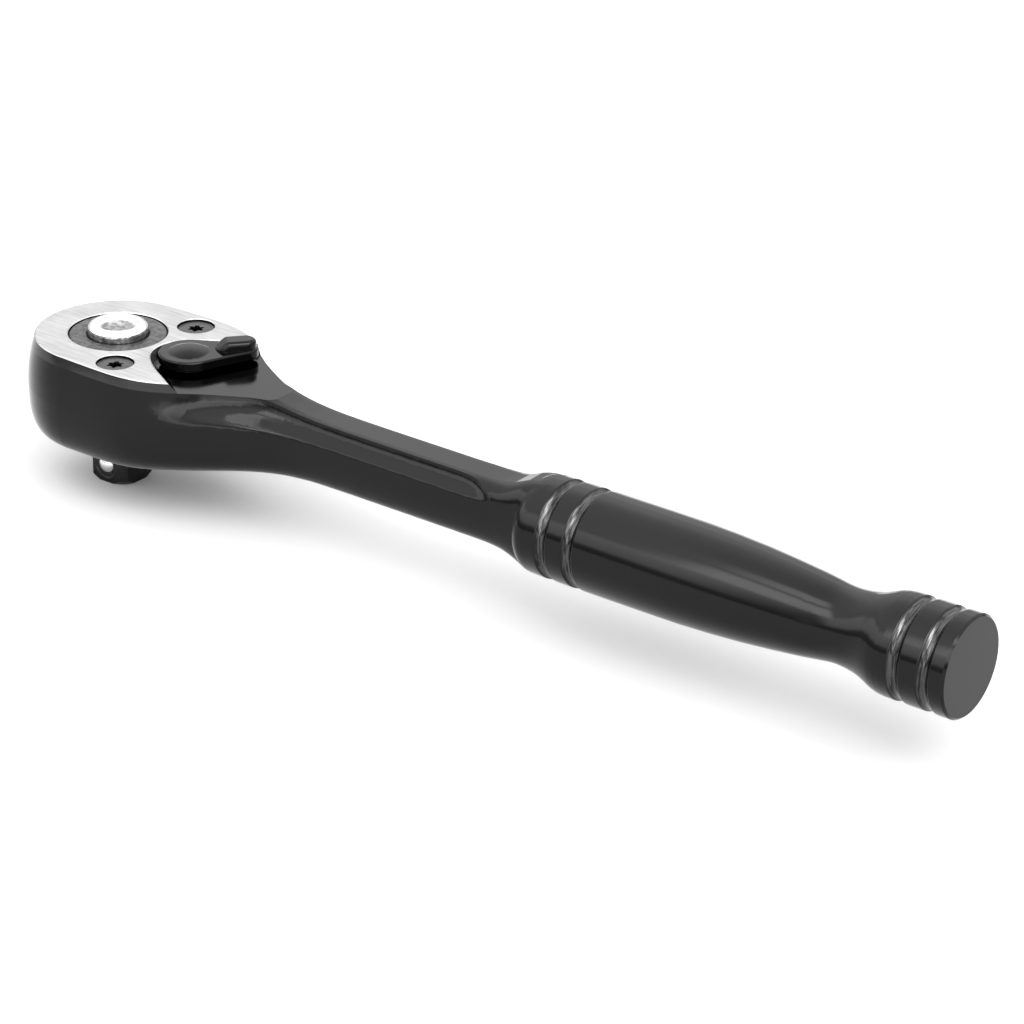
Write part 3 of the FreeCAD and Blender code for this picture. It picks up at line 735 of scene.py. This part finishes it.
@dataclass
class DriveTrain(SubAssembly):
    """Gear with its square, quick-release button, spring, seals and ball."""

    face: float = 3.175
    ball_height: float = 2.6
    stake_radius: float = 1.95
    stake_bead: float = 0.16
    stake_sink: float = 0.1

    name = "drive train"
    finishes = {"drive_gear": GEAR_STEEL, "lower_seal": NITRILE, "upper_seal": NITRILE,
                "release_button": BUTTON_CHROME, "release_spring": SPRING_STEEL,
                "retaining_ball": BALL_STEEL}

    def build(self) -> list[bpy.types.Object]:
        """Makes the bead that the staking tool raised round the ball.

        Returns:
            The new pieces.
        """
        blank = Blank()
        made = bmesh.ops.create_circle(blank.shape, segments=16, radius=self.stake_bead)
        bmesh.ops.translate(blank.shape, verts=made["verts"],
                            vec=(self.stake_radius, -self.face + self.stake_sink, 0.0))
        bmesh.ops.spin(blank.shape, geom=made["verts"] + blank.shape.edges[:], cent=(0, 0, 0),
                       axis=(0, 1, 0), angle=math.tau, steps=64, use_merge=True, use_duplicate=False)
        bmesh.ops.translate(blank.shape, verts=blank.shape.verts, vec=(0.0, 0.0, self.ball_height))
        return [blank.finish("ball_stake", GEAR_STEEL, Body.DRIVE)]


@dataclass
class Selector(SubAssembly):
    """Reverse lever on its shaft, with the spring plunger and the pawl it throws."""

    name = "selector"
    finishes = {"reverse_lever": LEVER_BLACK, "selector_shaft": LEVER_BLACK, "pawl_spring": SPRING_STEEL,
                "pawl_plunger": SPRING_STEEL, "pawl": GEAR_STEEL}


# ---------------------------------------------------------------- studio


def direction(azimuth: float, elevation: float) -> Vector:
    """Gives the unit vector that points to a place in the room.

    Args:
        azimuth: Degrees from +X towards +Y.
        elevation: Degrees above the floor.

    Returns:
        The unit vector.
    """
    around, above = math.radians(azimuth), math.radians(elevation)
    return Vector((math.cos(around) * math.cos(above), math.sin(around) * math.cos(above), math.sin(above)))


@dataclass(frozen=True)
class Diffuser:
    """A large diffuser in the room, bright in the middle and soft at its edges."""

    azimuth: float
    elevation: float
    half_width: float
    half_height: float
    radiance: float
    softness: float = 0.35

    def glow(self, wiring: Tree, ahead: bpy.types.NodeSocket) -> bpy.types.NodeSocket:
        """Wires the light that the diffuser sends.

        Args:
            wiring: The world's tree.
            ahead: Unit vector of the direction looked in.

        Returns:
            Radiance in that direction.
        """
        centre = direction(self.azimuth, self.elevation)
        side = Vector((-centre.y, centre.x, 0.0)).normalized()
        depth = self.along(wiring, ahead, centre)
        level = wiring.math("GREATER_THAN", depth, 0.05)
        for axis, half in ((side, self.half_width), (centre.cross(side), self.half_height)):
            reach = math.tan(math.radians(half))
            slope = wiring.math("ABSOLUTE", wiring.math("DIVIDE", self.along(wiring, ahead, axis), depth))
            fade = wiring.ramp(slope, reach * (1.0 + self.softness), reach * (1.0 - self.softness))
            level = wiring.math("MULTIPLY", level, fade)
        return wiring.math("MULTIPLY", level, self.radiance)

    @staticmethod
    def along(wiring: Tree, ahead: bpy.types.NodeSocket, axis: Vector) -> bpy.types.NodeSocket:
        """Wires the part of a direction that lies along an axis.

        Args:
            wiring: The world's tree.
            ahead: Unit vector of the direction looked in.
            axis: The axis.

        Returns:
            The part along the axis.
        """
        dot = wiring.add("ShaderNodeVectorMath", operation="DOT_PRODUCT")
        wiring.link(ahead, dot.inputs[0])
        dot.inputs[1].default_value = axis
        return dot.outputs["Value"]


@dataclass
class Studio:
    """Pale floor, soft light and the camera."""

    floor_half: float = 2.0
    floor_tone: Tone = grey(0.38)
    sky_strength: float = 3.2
    sky: tuple[tuple[float, float], ...] = (
        (0.0, 0.16), (0.17, 0.26), (0.34, 0.4), (0.5, 0.62), (0.64, 0.8), (0.87, 0.8), (1.0, 0.64))
    diffusers: tuple[Diffuser, ...] = (
        Diffuser(-143.0, 22.0, 30.0, 11.0, 2.0),
        Diffuser(-112.0, 41.0, 10.0, 10.0, 4.0),
        Diffuser(-28.0, 45.0, 24.0, 12.0, 9.5),
        Diffuser(-40.0, 19.0, 35.0, 10.0, 3.6),
        Diffuser(-82.0, 5.0, 16.0, 7.0, 2.6),
        Diffuser(52.0, 23.0, 42.0, 11.0, 0.6),
        Diffuser(-100.0, 64.0, 16.0, 7.0, 3.6))
    overhead_size: float = 1.6
    overhead_height: float = 1.4
    overhead_radiance: float = 1.2
    azimuth: float = 36.51
    elevation: float = 25.5
    roll: float = 1.11
    camera_place: Tone = (0.3063, -0.3254, 0.2071)
    lens: float = 127.7

    def build(self) -> None:
        """Makes the floor, world, lights and camera."""
        self.floor()
        self.world()
        self.overhead()
        self.camera()
        bpy.context.scene.view_settings.view_transform = "Standard"

    def floor(self) -> None:
        """Makes the plain floor."""
        shape = bmesh.new()
        bmesh.ops.create_grid(shape, x_segments=1, y_segments=1, size=self.floor_half)
        mesh = bpy.data.meshes.new("floor")
        shape.to_mesh(mesh)
        shape.free()
        piece = bpy.data.objects.new("floor", mesh)
        bpy.context.scene.collection.objects.link(piece)
        material = bpy.data.materials.new("floor_paper")
        material.use_nodes = True
        shader = material.node_tree.nodes["Principled BSDF"]
        shader.inputs["Base Color"].default_value = (*self.floor_tone, 1.0)
        shader.inputs["Roughness"].default_value = 0.9
        mesh.materials.append(material)

    def world(self) -> None:
        """Lights the room, dim at the horizon and brighter overhead."""
        world = bpy.data.worlds.new("studio")
        world.use_nodes = True
        wiring = Tree(world.node_tree)
        place = wiring.add("ShaderNodeTexCoord")
        split = wiring.add("ShaderNodeSeparateXYZ")
        shade = wiring.add("ShaderNodeValToRGB")
        wiring.link(place.outputs["Generated"], split.inputs["Vector"])
        wiring.link(split.outputs["Z"], shade.inputs["Fac"])
        steps = shade.color_ramp.elements
        for step, (height, level) in zip((steps[0], steps[1]), (self.sky[0], self.sky[-1])):
            step.position, step.color = height, (level, level, level, 1.0)
        for height, level in self.sky[1:-1]:
            steps.new(height).color = (level, level, level, 1.0)
        sky = world.node_tree.nodes["Background"]
        level = wiring.math("MULTIPLY", shade.outputs["Color"], self.sky_strength)
        for diffuser in self.diffusers:
            level = wiring.math("ADD", level, diffuser.glow(wiring, place.outputs["Generated"]))
        wiring.link(level, sky.inputs["Strength"])
        sky.inputs["Color"].default_value = (1.0, 1.0, 1.0, 1.0)
        bpy.context.scene.world = world

    def overhead(self) -> None:
        """Hangs a broad light over the floor, kept out of reflections."""
        light = bpy.data.lights.new("overhead", "AREA")
        light.shape = "SQUARE"
        light.size = self.overhead_size
        light.energy = self.overhead_radiance * math.pi * self.overhead_size ** 2
        piece = bpy.data.objects.new("overhead", light)
        piece.location = (0.07, 0.0, self.overhead_height)
        piece.visible_glossy = False
        bpy.context.scene.collection.objects.link(piece)

    def camera(self) -> None:
        """Sets the camera where the wrench is seen from in front, above and to its right."""
        turn, tilt, roll = (math.radians(a) for a in (self.azimuth, self.elevation, self.roll))
        right = Vector((math.cos(turn), math.sin(turn), 0.0))
        level = Vector((-math.sin(turn), math.cos(turn), 0.0))
        ahead = level * math.cos(tilt) - Vector((0, 0, 1)) * math.sin(tilt)
        up = level * math.sin(tilt) + Vector((0, 0, 1)) * math.cos(tilt)
        across = right * math.cos(roll) + up * math.sin(roll)
        upright = up * math.cos(roll) - right * math.sin(roll)
        lens = bpy.data.cameras.new("camera")
        lens.lens = self.lens
        lens.sensor_width = 36.0
        lens.clip_start = 0.01
        piece = bpy.data.objects.new("camera", lens)
        piece.matrix_world = Matrix((
            (across.x, upright.x, -ahead.x, self.camera_place[0]),
            (across.y, upright.y, -ahead.y, self.camera_place[1]),
            (across.z, upright.z, -ahead.z, self.camera_place[2]),
            (0.0, 0.0, 0.0, 1.0)))
        bpy.context.scene.collection.objects.link(piece)
        bpy.context.scene.camera = piece


def main() -> None:
    """Builds everything in order."""
    logging.basicConfig(level=logging.INFO, format="%(name)s: %(message)s")
    for part in (Handle(), DriveTrain(), Selector()):
        part.dress(frame["nodes"])
        for piece in part.build():
            log.info("%s: built %s with %d faces", part.name, piece.name, len(piece.data.polygons))
    Studio().build()


if __name__ == "__main__":
    main()
